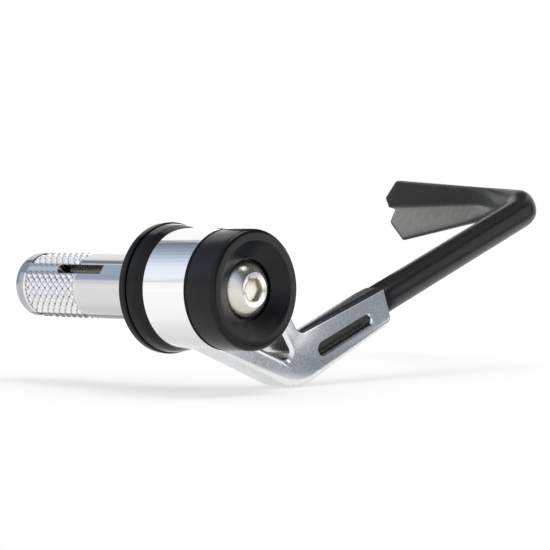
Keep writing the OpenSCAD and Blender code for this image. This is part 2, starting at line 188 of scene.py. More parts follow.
def smooth(t):
    k = max(0.0, min(1.0, t))
    return k * k * (3 - 2 * k)


def finish_mesh(name, bm, angle=32.0):
    """Makes an object of a bmesh, shaded smooth but for edges sharper than angle."""
    bmesh.ops.recalc_face_normals(bm, faces=bm.faces)
    me = bpy.data.meshes.new(name)
    bm.to_mesh(me)
    bm.free()
    me.shade_smooth()
    me.set_sharp_from_angle(angle=math.radians(angle))
    ob = bpy.data.objects.new(name, me)
    bpy.context.scene.collection.objects.link(ob)
    return ob


def soften(outline, steps):
    """A closed outline of (point, radius) with each corner rounded by its own radius."""
    out = []
    n = len(outline)
    for i, (p, r) in enumerate(outline):
        c = Vector(p)
        a = Vector(outline[i - 1][0]) - c
        b = Vector(outline[(i + 1) % n][0]) - c
        half = a.angle(b) / 2 if r else 0
        if not r or half > math.radians(89):
            out.append(tuple(c))
            continue
        reach = min(r / math.tan(half), a.length * 0.49, b.length * 0.49)
        r = reach * math.tan(half)
        u, v = a.normalized(), b.normalized()
        mid = c + (u + v).normalized() * (r / math.sin(half))
        s, e = c + u * reach - mid, c + v * reach - mid
        w = s.angle(e)
        for k in range(steps + 1):
            t = k / steps
            q = mid + (s * math.sin((1 - t) * w) + e * math.sin(t * w)) / math.sin(w)
            out.append(tuple(q))
    return out


def skin(bm, rings, closed_loop=False):
    """Joins rings of equal length with quads. Returns the rings' vertices."""
    rows = [[bm.verts.new(Vector(p) * MM) for p in ring] for ring in rings]
    n = len(rows[0])
    pairs = list(zip(rows, rows[1:]))
    if closed_loop:
        pairs.append((rows[-1], rows[0]))
    for a, b in pairs:
        for i in range(n):
            j = (i + 1) % n
            bm.faces.new((a[i], b[i], b[j], a[j]))
    return rows


def capped(name, rings, angle):
    """A body through rings, with a flat face on its first and its last one."""
    bm = bmesh.new()
    rows = skin(bm, rings)
    bm.faces.new(rows[0])
    bm.faces.new(rows[-1])
    return finish_mesh(name, bm, angle)


def circle_ring(x, r, steps):
    return [(x, r * math.sin(w), r * math.cos(w))
            for w in (2 * math.pi * i / steps for i in range(steps))]


def hexagon_ring(x, flats, steps):
    """A hexagon across the bar's axis, by its width over flats, with as many points as a circle."""
    sixth = math.pi / 3
    ring = []
    for i in range(steps):
        w = 2 * math.pi * i / steps
        r = flats / 2 / math.cos((w + sixth / 2) % sixth - sixth / 2)
        ring.append((x, r * math.sin(w), r * math.cos(w)))
    return ring


def turned(name, outline):
    """A body of revolution about the bar's axis, from a closed outline of (x, radius)."""
    bm = bmesh.new()
    skin(bm, [circle_ring(x, r, TURNED_STEPS) for x, r in outline], closed_loop=True)
    return finish_mesh(name, bm)


def knurl_height(i, k):
    """The knurl's relief at i diamonds round and k along: 0 in the grooves, 1 on the crests."""
    u, v = i % 1, k % 1
    return abs(u - v) if (math.floor(i) + math.floor(k)) % 2 == 0 else abs(1 - u - v)


def plug_tube():
    """The plug without flats and slots: turned and knurled outside, bored and coned inside."""
    steps = 2 * KNURL_COUNT * KNURL_FINE
    rows = round(2 * KNURL_ROWS) * KNURL_FINE
    knurl_end = KNURL_START + KNURL_LEN
    rings = [circle_ring(x, r, steps) for x, r in (
        (SPIGOT_LEN, PLUG_R - SPIGOT_STEP), (0, PLUG_R - SPIGOT_STEP), (0, PLUG_R),
        (-PLUG_FIRST_RING, PLUG_R), (-KNURL_START + KNURL_LEAD, PLUG_R),
        (-KNURL_START, VALLEY_R))]
    first = len(rings)
    for j in range(1, rows):
        x = -KNURL_START - KNURL_LEN * j / rows
        edge = min(1.0, j / KNURL_FINE, (rows - j) / KNURL_FINE)
        ring = []
        for i in range(steps):
            w = 2 * math.pi * i / steps
            h = knurl_height(i / KNURL_FINE, j / KNURL_FINE)
            r = mix(VALLEY_R, PLUG_R + KNURL_RISE, min(1.0, h * KNURL_FLAT) * edge)
            ring.append((x, r * math.sin(w), r * math.cos(w)))
        rings.append(ring)
    last = len(rings)
    rings.append(circle_ring(-knurl_end, VALLEY_R, steps))
    rings.append(circle_ring(-knurl_end - KNURL_LEAD, PLUG_R, steps))
    for k in range(PLUG_ROUND_STEPS + 1):
        a = math.pi / 2 * k / PLUG_ROUND_STEPS
        rings.append(circle_ring(-PLUG_LEN + PLUG_ROUND * (1 - math.sin(a)),
                                 PLUG_R - PLUG_ROUND * (1 - math.cos(a)), steps))
    rings += [circle_ring(x, r, steps) for x, r in (
        (-PLUG_LEN, CONE_END_R), (CONE_X, CONE_R), (CONE_X, BOLT_HOLE_R),
        (SPIGOT_LEN, BOLT_HOLE_R))]
    bm = bmesh.new()
    rows_of = [[bm.verts.new(Vector(q) * MM) for q in ring] for ring in rings]
    for j, (a, b) in enumerate(zip(rows_of, rows_of[1:] + rows_of[:1])):
        for i in range(steps):
            n = (i + 1) % steps
            if not first - 1 <= j < last:
                bm.faces.new((a[i], b[i], b[n], a[n]))
            elif (i // KNURL_FINE + (j - first + 1) // KNURL_FINE) % 2 == 0:
                bm.faces.new((a[i], b[i], b[n]))
                bm.faces.new((a[i], b[n], a[n]))
            else:
                bm.faces.new((a[i], b[i], a[n]))
                bm.faces.new((b[i], b[n], a[n]))
    return finish_mesh("plug_tube", bm)


def prism(bm, outline, low, high, turn):
    """An outline of (x, across), drawn from radius low to high, turned about the bar's axis."""
    c, s = math.cos(turn), math.sin(turn)
    ends = [[bm.verts.new(Vector((x, -r * c - y * s, r * s - y * c)) * MM) for x, y in outline]
            for r in (low, high)]
    bm.faces.new(ends[0])
    bm.faces.new(reversed(ends[1]))
    n = len(outline)
    for i in range(n):
        j = (i + 1) % n
        bm.faces.new((ends[0][i], ends[1][i], ends[1][j], ends[0][j]))


def plug_piece():
    """The knurled expander plug, with its flats and the slots in them."""
    turns = [math.radians(SLOT_TURN + 360 * k / PLUG_SLOTS) for k in range(PLUG_SLOTS)]
    half = FLAT_W / 2
    ends = (-PLUG_LEN - CUT_PAST, SPIGOT_LEN + CUT_PAST)
    flat = [(ends[0], -half), (ends[1], -half), (ends[1], half), (ends[0], half)]
    r = SLOT_W / 2
    inner = -SLOT_START - SLOT_LEN + r
    arc = [(inner - r * math.sin(a), r * math.cos(a))
           for a in (math.pi * k / SLOT_ROUND_STEPS for k in range(SLOT_ROUND_STEPS + 1))]
    slot = [(-SLOT_START, r)] + arc + [(-SLOT_START, -r)]
    tube = plug_tube()
    cutters = []
    for name, outline, low, high in (
            ("flats", flat, PLUG_R - FLAT_DEPTH, PLUG_R + CUT_PAST),
            ("slots", slot, SLOT_INNER_R, PLUG_R + CUT_PAST / 2)):
        bm = bmesh.new()
        for turn in turns:
            prism(bm, outline, low, high, turn)
        cutter = finish_mesh(name, bm)
        cutters.append(cutter)
        cut = tube.modifiers.new(name, "BOOLEAN")
        cut.operation = "DIFFERENCE"
        cut.solver = "EXACT"
        cut.object = cutter
    bpy.context.view_layer.update()
    graph = bpy.context.evaluated_depsgraph_get()
    bm = bmesh.new()
    bm.from_mesh(bpy.data.meshes.new_from_object(tube.evaluated_get(graph)))
    bmesh.ops.remove_doubles(bm, verts=bm.verts, dist=1e-6)
    for ob in cutters + [tube]:
        bpy.data.objects.remove(ob)
    return finish_mesh("plug_knurled", bm, 20.0)


def collar_piece():
    """Rim, groove, rounded shoulder, and the boss that the arm turns on."""
    groove_r = RIM_R - GROOVE_DEPTH
    groove_x = RIM_W + 0.02
    outline = [
        ((SPIGOT_LEN, BOLT_HOLE_R), 0.0), ((SPIGOT_LEN, SEAT_HOLE_R), 0.0),
        ((0, SEAT_HOLE_R), 0.15), ((0, RIM_R), RIM_ROUND), ((RIM_W, RIM_R), RIM_ROUND),
        ((groove_x, groove_r), 0.1), ((groove_x + GROOVE_W, groove_r), 0.1),
        ((groove_x + GROOVE_W + 0.1, RIM_R - 0.33), 0.3),
        ((SHOULDER_X, RING_R + SHOULDER_RISE), SHOULDER_ROUND),
        ((COLLAR_W, RING_R), 0.25), ((COLLAR_W, BOSS_R), 0.0),
        ((BOSS_END, BOSS_R), 0.2), ((BOSS_END, BOLT_HOLE_R), 0.2)]
    return turned("collar_turned", soften(outline, 8))


def cap_piece():
    """The end cap with its funnel and the seat of the screw's head."""
    top = FACE_X + CAP_W
    outline = [
        ((FACE_X, BOLT_HOLE_R), 0.0), ((FACE_X, CAP_R - CAP_CHAMFER), 0.12),
        ((FACE_X + CAP_CHAMFER, CAP_R), 0.25), ((top, CAP_R), CAP_ROUND), ((top, MOUTH_R), 0.35),
        ((top - MOUTH_DEPTH, SEAT_R), 0.25), ((SEAT_X, SEAT_R), 0.1), ((SEAT_X, BOLT_HOLE_R), 0.1)]
    return turned("cap_turned", soften(outline, 10))


def bolt_piece():
    """The button-head screw: domed head, bevelled hexagon socket, shank and rolled thread."""
    dome_r = (HEAD_R ** 2 + HEAD_H ** 2) / (2 * HEAD_H) + HEAD_FLATTER
    middle = SEAT_X + HEAD_H - dome_r
    low = math.acos(min(1, HEAD_R / dome_r))
    high = math.acos(SINK_R / dome_r)
    mouth = middle + dome_r * math.sin(high)
    floor = SEAT_X + HEAD_H - HEX_DEPTH
    circles = [(BOLT_END, BOLT_R - 0.9), (BOLT_END + THREAD_LEAD, BOLT_R - 0.6)]
    for k in range(THREAD_TURNS):
        x = BOLT_END + 2 * THREAD_LEAD + THREAD_PITCH * k
        circles += [(x, BOLT_R - THREAD_DEPTH), (x + THREAD_PITCH * 0.42, BOLT_R),
                    (x + THREAD_PITCH * 0.58, BOLT_R)]
    circles += [(SEAT_X - 0.2, BOLT_R), (SEAT_X, BOLT_R + 0.2), (SEAT_X, HEAD_R - 0.15),
                (SEAT_X + 0.12, HEAD_R), (SEAT_X + 0.3, HEAD_R)]
    for k in range(DOME_STEPS + 1):
        a = low + (high - low) * k / DOME_STEPS
        r = dome_r * math.cos(a) - (0.12 if k == 0 else 0)
        circles.append((middle + dome_r * math.sin(a), r))
    circles += [(mouth + 0.03, SINK_R - 0.1), (mouth - 0.28, SINK_END_R)]
    hexagons = [(mouth - 0.35, HEX_W + 0.16), (mouth - 0.5, HEX_W), (floor, HEX_W),
                (floor - 0.05, HEX_W - 0.3)]
    rings = [circle_ring(x, r, BOLT_STEPS) for x, r in circles]
    rings += [hexagon_ring(x, flats, BOLT_STEPS) for x, flats in hexagons]
    rings.append(circle_ring(floor - 0.35, 0.4, BOLT_STEPS))
    return capped("bolt_turned", rings, 26.0)


def blade_section(c, d, m=0, up=0, down=0, t=1, crown=ROD_R, trim=0.0):
    """A section about c across direction d. It is round at m = 0 and the paddle's folded one
    at m = 1, which reaches up and down from the fold and is t thick. crown is the round
    section's height above c, and trim sets the lower half back along d."""
    top = (Vector((0, 0, 1)) - d * d.z).normalized()
    front = d.cross(top)
    ring = []
    for i in range(SECTION_POINTS):
        a = math.radians(90 - 360 * i / SECTION_POINTS)
        s, k = math.sin(a), math.cos(a)
        p = (up if s > 0 else down) * math.copysign(abs(s) ** SECTION_SLIM, s)
        fold = FOLD_SLOPE * math.sqrt(p * p + FOLD_ROUND)
        q = t / 2 * math.copysign(abs(k) ** SECTION_SQUARE, k) - fold + FOLD_SHIFT
        back = d * (trim * min(1.0, max(0.0, -p / LOW_END_SOFT)))
        height = mix((crown if s > 0 else ROD_R) * s, p, m)
        ring.append(c - back + top * height + front * mix(ROD_R * k, q, m))
    return ring


def half_width(d, widest, cut):
    """How far the paddle reaches from its fold, at distance d from the elbow."""
    far = PADDLE_LEN - cut
    return min(mix(ROD_R, widest, max(0, d - FLARE_START) / (far - FLARE_START)),
               mix(widest, TIP_END, (d - far) / cut))


def crown_at(d):
    """Height of the paddle's straight upper edge, from the elbow on."""
    return mix(ELBOW_CROWN, TIP_UP + FOLD_LIFT, d / (PADDLE_LEN - TIP_CUT_UP))


def blade_piece():
    """One sweep: tongue, rod, elbow and the folded paddle with its cut-off tip."""
    w = math.radians(ROD_ANGLE)
    g = math.radians(PADDLE_ANGLE)
    rod = Vector((0, math.cos(w), math.sin(w)))
    paddle = Vector((-math.cos(g), math.sin(g), 0))
    start = Vector((ROD_X, ARM_END_Y, ROD_Z))
    elbow = start + rod * ROD_LEN
    turn = rod.angle(paddle)
    reach = ELBOW_R * math.tan(turn / 2)
    side = (paddle - rod * rod.dot(paddle)).normalized()

    rounds = [(-TONGUE_LEN, TONGUE_R - 0.6), (-TONGUE_LEN + 0.12, TONGUE_R - 0.25),
              (-TONGUE_LEN + 0.5, TONGUE_R), (0.0, TONGUE_R), (0.0, ROD_R - ROD_CHAMFER),
              (0.08, ROD_R - 0.1), (ROD_CHAMFER, ROD_R)]
    straight = ROD_LEN - reach - 2 * ROD_CHAMFER
    rounds += [(ROD_CHAMFER + straight * k / ROD_STEPS, ROD_R) for k in range(1, ROD_STEPS)]
    rings = []
    for d, r in rounds:
        c = start + rod * d
        rings.append([c + (p - c) * (r / ROD_R) for p in blade_section(c, rod)])

    for k in range(ELBOW_STEPS + 1):
        a = turn * k / ELBOW_STEPS
        c = (elbow - rod * reach + rod * (ELBOW_R * math.sin(a))
             + side * (ELBOW_R * (1 - math.cos(a))))
        crown = mix(ROD_R, crown_at(reach), smooth(k / ELBOW_STEPS))
        rings.append(blade_section(c, rod * math.cos(a) + side * math.sin(a), crown=crown))

    widest, tip = PADDLE_LEN - TIP_CUT_DOWN, PADDLE_LEN - TIP_ROUND
    stations = [mix(reach + PADDLE_START, widest, k / PADDLE_STEPS)
                for k in range(PADDLE_STEPS + 1)]
    stations += [mix(widest, tip, k / TIP_STEPS) for k in range(1, TIP_STEPS + 1)]
    stations += [PADDLE_LEN - d for d in (0.8, 0.4, 0.12, 0.0)]
    for d in stations:
        m = smooth((d - reach) / PADDLE_BLEND)
        end = max(0.0, (d - tip) / TIP_ROUND)
        t = PADDLE_T * math.sqrt(max(0.0, 1 - TIP_THIN * end * end))
        crown = crown_at(d) - FOLD_LIFT * m
        up = half_width(d, TIP_UP, TIP_CUT_UP)
        if d < PADDLE_LEN - TIP_CUT_UP:
            up = max(up, crown)
        down = half_width(d, TIP_DOWN, TIP_CUT_DOWN)
        c = elbow + paddle * d + Vector((0, 0, FOLD_LIFT * m))
        rings.append(blade_section(c, paddle, m, up, down, t, crown, max(0.0, d - LOW_END)))
    return capped("blade_moulded", rings, 40.0)


def arm_piece():
    """The CAD arm with its edges broken by a small bevel, as a deburred part has."""
    angle = 32.0
    bm = bmesh.new()
    bm.from_mesh(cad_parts["arm"].data)
    bmesh.ops.remove_doubles(bm, verts=bm.verts, dist=2e-6)
    bmesh.ops.dissolve_limit(bm, angle_limit=math.radians(0.6), verts=bm.verts, edges=bm.edges)
    ob = finish_mesh("arm_machined", bm, angle)
    bevel = ob.modifiers.new("edges", "BEVEL")
    bevel.limit_method = "ANGLE"
    bevel.angle_limit = math.radians(angle)
    bevel.width = ARM_EDGE * MM
    bevel.segments = 2
    bevel.harden_normals = True
    bevel.use_clamp_overlap = True
    return ob


# ---------------------------------------------------------------- nodes
def feed(tree, socket, value):
    """Sets a socket to a plain value, or links another node's output to it."""
    if isinstance(value, (int, float, tuple)):
        socket.default_value = value
    else:
        tree.links.new(value, socket)


def math_node(tree, operation, *values):
    node = tree.nodes.new("ShaderNodeMath")
    node.operation = operation
    for socket, value in zip(node.inputs, values):
        feed(tree, socket, value)
    return node.outputs["Value"]


def mixed(tree, factor, a, b):
    """Colour a where factor is 0, colour b where it is 1."""
    node = tree.nodes.new("ShaderNodeMix")
    node.data_type = "RGBA"
    colours = [socket for socket in node.inputs if socket.type == "RGBA"]
    for socket, value in zip([node.inputs["Factor"]] + colours, (factor, a, b)):
        feed(tree, socket, value)
    return next(socket for socket in node.outputs if socket.type == "RGBA")


def product(tree, *factors):
    total = factors[0]
    for factor in factors[1:]:
        total = math_node(tree, "MULTIPLY", total, factor)
    return total


def smooth_step(tree, value, start, end):
    """0 before start and 1 past end, in the value's own unit."""
    node = tree.nodes.new("ShaderNodeMapRange")
    node.interpolation_type = "SMOOTHSTEP"
    node.inputs["From Min"].default_value = start
    node.inputs["From Max"].default_value = end
    tree.links.new(value, node.inputs["Value"])
    return node.outputs["Result"]


def step_mm(tree, value, start, end):
    """0 before start and 1 past end, both in millimetres."""
    return smooth_step(tree, value, start * MM, end * MM)


def zone_mm(tree, value, start, end, soft=0.1):
    """1 where value lies between start and end, in millimetres, with edges soft wide."""
    return product(tree, step_mm(tree, value, start, start + soft),
                   step_mm(tree, value, end, end - soft))


def fill_ramp(node, stops):
    elements = node.color_ramp.elements
    while len(elements) < len(stops):
        elements.new(0.5)
    for element, (at, colour) in zip(elements, stops):
        element.position = at
        element.color = colour


# ---------------------------------------------------------------- materials
NOISE_LOW = 0.3
NOISE_HIGH = 0.7

# Tones of single zones of a piece; most are painted light and shade, marked one by one
# Painted shade in the knurl's grooves
GROOVE_SHADE = (0.4, 0.395, 0.38)
# Painted shade where the knurl's grooves cross
KNURL_PIT_SHADE = (0.09, 0.085, 0.07)
PLUG_PLAIN = (0.7, 0.7, 0.705)
# Painted reflection in a band above the plain part's middle
PLUG_BAND_REFLECTION = (0.24, 0.28, 0.37)
PLUG_LIP = (0.43, 0.475, 0.495)
# Painted shade along the plug's underside
PLUG_BELOW_SHADE = (0.11, 0.125, 0.12)
# Painted shade inside the bore
PLUG_BORE_SHADE = (0.2, 0.2, 0.17)
RING_BRIGHT = (0.95, 0.95, 0.95)
HOLLOW_SHADE = (0.13, 0.12, 0.1)
# Painted dark reflection on the outboard edge of the arm's top
ARM_TOP_DARK_REFLECTION = (0.16, 0.175, 0.19)
# Painted light on the tongue inside the arm
TONGUE_PAINTED_LIGHT = (0.11, 0.115, 0.1)
# Painted highlight on the countersink
SINK_HIGHLIGHT = (0.97, 0.96, 0.93)
SOCKET_OLIVE = (0.36, 0.33, 0.23)

# Where those zones begin and end, as the start and end of a soft edge, in millimetres; NORMAL
# ones are parts of the unit normal
BAND_LOW_Z = (1.4, 2.1)
BAND_HIGH_Z = (3.4, 3.1)
BAND_Y = (0.0, -1.0)
BELOW_Z = (-6.9, -7.2)
BORE_EDGE_R = (7.6, 6.4)
HOLLOW_Y = (8.5, 21.5)
HOLLOW_Z = (-21.2, -4.0)
HOLLOW_NORMAL = (-0.35, -0.2)
TOP_Y = (23.5, 24.5)
TOP_NORMAL = (0.3, 0.4)
SINK_ZONE = (2.9, 4.2)


class Look:
    """A node material: a Principled shader, and helpers that add nodes and link them."""

    def __init__(self, name, **values):
        self.mat = bpy.data.materials.new(name)
        self.mat.use_nodes = True
        self.tree = self.mat.node_tree
        self.tree.nodes.clear()
        self.out = self.tree.nodes.new("ShaderNodeOutputMaterial")
        self.shader = self.tree.nodes.new("ShaderNodeBsdfPrincipled")
        self.link(self.shader, "BSDF", self.out, "Surface")
        self.coord = self.tree.nodes.new("ShaderNodeTexCoord")
        for key, value in values.items():
            self.shader.inputs[key].default_value = value

    def link(self, a, out, b, into):
        self.tree.links.new(a.outputs[out], b.inputs[into])

    def noise(self, scale, detail=3.0, stretch=None, distortion=0.0):
        """Noise in the piece's own coordinates, drawn out along one of them by stretch."""
        node = self.tree.nodes.new("ShaderNodeTexNoise")
        node.inputs["Scale"].default_value = scale
        node.inputs["Detail"].default_value = detail
        node.inputs["Distortion"].default_value = distortion
        if stretch:
            mapping = self.tree.nodes.new("ShaderNodeMapping")
            mapping.inputs["Scale"].default_value = stretch
            self.link(self.coord, "Object", mapping, "Vector")
            self.link(mapping, "Vector", node, "Vector")
        else:
            self.link(self.coord, "Object", node, "Vector")
        return node

    def base(self, scale, low, high):
        """A base colour that drifts from one colour to the other."""
        ramp = self.tree.nodes.new("ShaderNodeValToRGB")
        fill_ramp(ramp, [(NOISE_LOW, (*low, 1)), (NOISE_HIGH, (*high, 1))])
        self.link(self.noise(scale, 4.0), "Fac", ramp, "Fac")
        self.link(ramp, "Color", self.shader, "Base Color")

    def gloss(self, source, low, high):
        """A roughness that follows a noise. Returns its socket."""
        node = self.tree.nodes.new("ShaderNodeMapRange")
        for key, value in (("From Min", NOISE_LOW), ("From Max", NOISE_HIGH),
                           ("To Min", low), ("To Max", high)):
            node.inputs[key].default_value = value
        self.link(source, "Fac", node, "Value")
        self.link(node, "Result", self.shader, "Roughness")
        return node.outputs["Result"]

    def bump(self, source, strength, distance):
        node = self.tree.nodes.new("ShaderNodeBump")
        node.inputs["Strength"].default_value = strength
        node.inputs["Distance"].default_value = distance
        self.link(source, "Fac", node, "Height")
        self.link(node, "Normal", self.shader, "Normal")

    def axes(self, of="Object"):
        """X, Y and Z of the point on the piece, or of its normal."""
        node = self.tree.nodes.new("ShaderNodeSeparateXYZ")
        self.link(self.coord, of, node, "Vector")
        return node.outputs

    def off_axis(self, axes):
        """Distance from the bar's axis."""
        squares = [math_node(self.tree, "MULTIPLY", axes[key], axes[key]) for key in "YZ"]
        return math_node(self.tree, "SQRT", math_node(self.tree, "ADD", *squares))

    def tint(self, factor, colour, amount=1.0):
        """Mixes the base colour with another one where factor is 1, by amount."""
        if amount != 1.0:
            factor = math_node(self.tree, "MULTIPLY", factor, amount)
        socket = self.shader.inputs["Base Color"]
        before = socket.links[0].from_socket
        self.tree.links.new(mixed(self.tree, factor, before, (*colour, 1)), socket)


def bright_metal(name, low, high, rough, grain, depth=0.35):
    """Bare aluminium or steel: tone and gloss vary softly, with fine tool marks across grain."""
    look = Look(name, Metallic=1.0)
    look.base(90, low, high)
    marks = look.noise(1.0, stretch=grain)
    look.roughness = look.gloss(marks, rough * 0.85, rough * 1.15)
    if depth:
        look.bump(marks, depth, 2e-6)
    return look


def black_finish(name, low, high, rough, depth, scale=1.0, stretch=None, ior=1.45):
    """Black anodised metal or moulded nylon: a fine grain, and gloss uneven from handling."""
    look = Look(name, Metallic=0.0, IOR=ior)
    look.base(160, low, high)
    look.gloss(look.noise(420, distortion=0.6), rough * 0.85, rough * 1.2)
    look.bump(look.noise(scale, stretch=stretch), depth, 2e-5)
    return look


def plug_look():
    """Turned aluminium: painted shade in the knurl's grooves, darkest where they cross, and inside
    the bore;
    darker tones on the plain part and on the end's lip; a painted reflection in a band above the
    plain part's middle, and painted shade along the underside."""
    look = bright_metal("turned_aluminium", low=(0.88, 0.885, 0.89), high=(0.94, 0.94, 0.94),
                        rough=0.16, grain=(9000, 500, 500), depth=0.2)
    tree = look.tree
    axes = look.axes()
    radius = look.off_axis(axes)
    knurl_end = KNURL_START + KNURL_LEN

    # Painted shade in the knurl's grooves
    groove = product(tree, zone_mm(tree, axes["X"], -knurl_end - 0.6, -KNURL_START + 0.4, 0.4),
                     step_mm(tree, radius, VALLEY_R - 0.09, VALLEY_R - 0.05),
                     step_mm(tree, radius, VALLEY_R + 0.21, VALLEY_R + 0.05))
    look.tint(groove, GROOVE_SHADE, 0.55)
    # Painted shade where the knurl's grooves cross
    turn = math_node(tree, "ARCTAN2", axes["Y"], axes["Z"])
    round_bar = math_node(tree, "COSINE", math_node(tree, "MULTIPLY", turn, KNURL_COUNT))
    pitch = KNURL_LEN / KNURL_ROWS * MM
    run = math_node(tree, "ADD", axes["X"], KNURL_START * MM)
    along_bar = math_node(tree, "SINE", math_node(tree, "MULTIPLY", run, math.pi / pitch))
    waves = [math_node(tree, "ABSOLUTE", wave) for wave in (round_bar, along_bar)]
    crossing = math_node(tree, "ABSOLUTE", math_node(tree, "SUBTRACT", *waves))
    look.tint(product(tree, groove, smooth_step(tree, crossing, 0.55, 0.85)), KNURL_PIT_SHADE)

    plain = step_mm(tree, axes["X"], -KNURL_START + 0.3, -KNURL_START + 0.5)
    look.tint(plain, PLUG_PLAIN)
    # Painted reflection of the collar's rim in a band above the plain part's middle
    band = product(tree, plain, step_mm(tree, axes["Y"], *BAND_Y),
                   step_mm(tree, axes["Z"], *BAND_LOW_Z), step_mm(tree, axes["Z"], *BAND_HIGH_Z))
    look.tint(band, PLUG_BAND_REFLECTION, 0.75)
    look.tint(step_mm(tree, axes["X"], -knurl_end - 0.4, -knurl_end - 0.6), PLUG_LIP)
    # Painted shade along the plug's underside
    look.tint(step_mm(tree, axes["Z"], *BELOW_Z), PLUG_BELOW_SHADE, 0.9)
    # Painted shade inside the bore
    look.tint(step_mm(tree, radius, *BORE_EDGE_R), PLUG_BORE_SHADE)
    return look


def arm_look():
    """Machined aluminium: the ring is turned bright, the arm is finely blasted. The inside of
    the three-cornered window is in painted shade, and the outboard edge of the arm's top is darker
    with a painted dark reflection."""
    look = bright_metal("satin_aluminium", low=(0.87, 0.88, 0.89), high=(0.91, 0.915, 0.92),
                        rough=0.27, grain=(5000, 1400, 1400), depth=0.0)
    tree = look.tree
    axes = look.axes()
    normal = look.axes("Normal")
    radius = look.off_axis(axes)
    ring = step_mm(tree, radius, RING_R + 0.13, RING_R + 0.01)
    look.tint(ring, RING_BRIGHT)
    hollow = product(tree, zone_mm(tree, axes["Y"], *HOLLOW_Y),
                     zone_mm(tree, axes["Z"], *HOLLOW_Z),
                     step_mm(tree, axes["X"], FACE_X - 0.55, FACE_X - 0.9),
                     step_mm(tree, radius, RING_R + 0.28, RING_R + 0.48),
                     smooth_step(tree, normal["Z"], *HOLLOW_NORMAL))
    look.tint(hollow, HOLLOW_SHADE)
    top_dark_reflection = product(tree, smooth_step(tree, normal["Z"], *TOP_NORMAL),
                       step_mm(tree, axes["X"], FACE_X - 2.0, FACE_X - 1.7),
                       step_mm(tree, axes["Y"], *TOP_Y))
    look.tint(top_dark_reflection, ARM_TOP_DARK_REFLECTION)
    rough = math_node(tree, "MULTIPLY_ADD", ring, -0.14, look.roughness)
    rough = math_node(tree, "MULTIPLY_ADD", hollow, 0.25, rough)
    tree.links.new(rough, look.shader.inputs["Roughness"])
    return look


def blade_look():
    """Black moulded nylon. Light is painted on the tongue: it is a lighter grey where it slides in
    the arm.
    """
    look = black_finish("black_nylon", low=(0.006, 0.006, 0.007), high=(0.011, 0.011, 0.012),
                        rough=0.3, depth=0.08, scale=2600, ior=1.5)
    tongue = step_mm(look.tree, look.axes()["Y"], ARM_END_Y, ARM_END_Y - 0.4)
    look.tint(tongue, TONGUE_PAINTED_LIGHT)
    return look


def bolt_look():
    """Stainless steel: a warm dome, a painted highlight on the countersink, painted olive shade
    down in the hexagon.
    """
    look = bright_metal("stainless_steel", low=(0.6, 0.57, 0.5), high=(0.8, 0.77, 0.71),
                        rough=0.26, grain=(2500, 2500, 2500))
    tree = look.tree
    axes = look.axes()
    radius = look.off_axis(axes)
    head = step_mm(tree, axes["X"], SEAT_X + 1.6, SEAT_X + 2.1)
    look.tint(product(tree, head, zone_mm(tree, radius, *SINK_ZONE, 0.2)), SINK_HIGHLIGHT)
    look.tint(product(tree, head, step_mm(tree, radius, SINK_END_R, SINK_ZONE[0])), SOCKET_OLIVE)
    return look


LOOKS = {
    "plug": plug_look(),
    "nut": bright_metal("wedge_steel", low=(0.42, 0.42, 0.43), high=(0.52, 0.52, 0.53),
                        rough=0.35, grain=(7000, 400, 400)),
    "collar": black_finish("gloss_black_anodising", low=(0.002, 0.002, 0.0025),
                           high=(0.004, 0.004, 0.0045), rough=0.14, depth=0.03, scale=2600,
                           ior=1.34),
    "arm": arm_look(),
    "grub": black_finish("black_oxide_steel", low=(0.02, 0.02, 0.021), high=(0.035, 0.034, 0.033),
                         rough=0.38, depth=0.1, scale=3000),
    "blade": blade_look(),
    "cap": black_finish("satin_black_anodising", low=(0.004, 0.004, 0.005),
                        high=(0.008, 0.008, 0.009), rough=0.24, depth=0.08,
                        stretch=(6500, 900, 900), ior=1.34),
    "bolt": bolt_look(),
}


# ---------------------------------------------------------------- pieces
def dress(ob, slot):
    ob.data.materials.clear()
    ob.data.materials.append(LOOKS[slot].mat)


def place(piece, node, body, slot):
    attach(piece, body)
    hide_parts(node)
    dress(piece, slot)


place(plug_piece(), "expander_plug", "bar_end", "plug")
place(collar_piece(), "collar", "bar_end", "collar")
place(cap_piece(), "end_cap", "bar_end", "cap")
place(bolt_piece(), "clamp_bolt", "bar_end", "bolt")
place(arm_piece(), "arm", "arm", "arm")
place(blade_piece(), "blade", "blade", "blade")
for node, slot in (("wedge_nut", "nut"), ("grub_screws", "grub")):
    dress(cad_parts[node], slot)


# ---------------------------------------------------------------- floor, light and camera
# Here all lengths are in metres.
WHITE = (1, 1, 1, 1)
WARM_WHITE = (1, 0.99, 0.96, 1)
COOL_WHITE = (0.9, 0.95, 1, 1)
ROOM_LIGHT = (0.8, 0.8, 0.8, 1)
SIDE_GREY = (0.2, 0.24, 0.28, 1)
SIDE_DARK = (0.07, 0.07, 0.065, 1)
BACK_GREY = (0.38, 0.38, 0.39, 1)
LEFT_GREY = (0.36, 0.42, 0.45, 1)

# Colour of the room from the level line in front (0) over the ceiling to the level line behind (1)
ROOM_STOPS = (
    (0.0, WHITE), (0.066, WHITE), (0.078, (0.55, 0.52, 0.66, 1)), (0.092, (0.92, 0.93, 0.98, 1)),
    (0.24, (0.8, 0.87, 1.0, 1)), (0.4, (0.36, 0.43, 0.54, 1)), (0.565, (0.13, 0.145, 0.165, 1)),
    (0.59, WHITE))

FLOOR_HALF = 6.0
FLOOR_GAP = 0.0001
FLOOR_PAINT = (0.48, 0.48, 0.48, 1)
FLOOR_PAINT_SIDE = (0.08, 0.09, 0.1, 1)
FLOOR_PAINT_BACK = (0.1, 0.1, 0.1, 1)
FLOOR_GLOW = 0.5
FLOOR_GLOW_FAR = 0.16

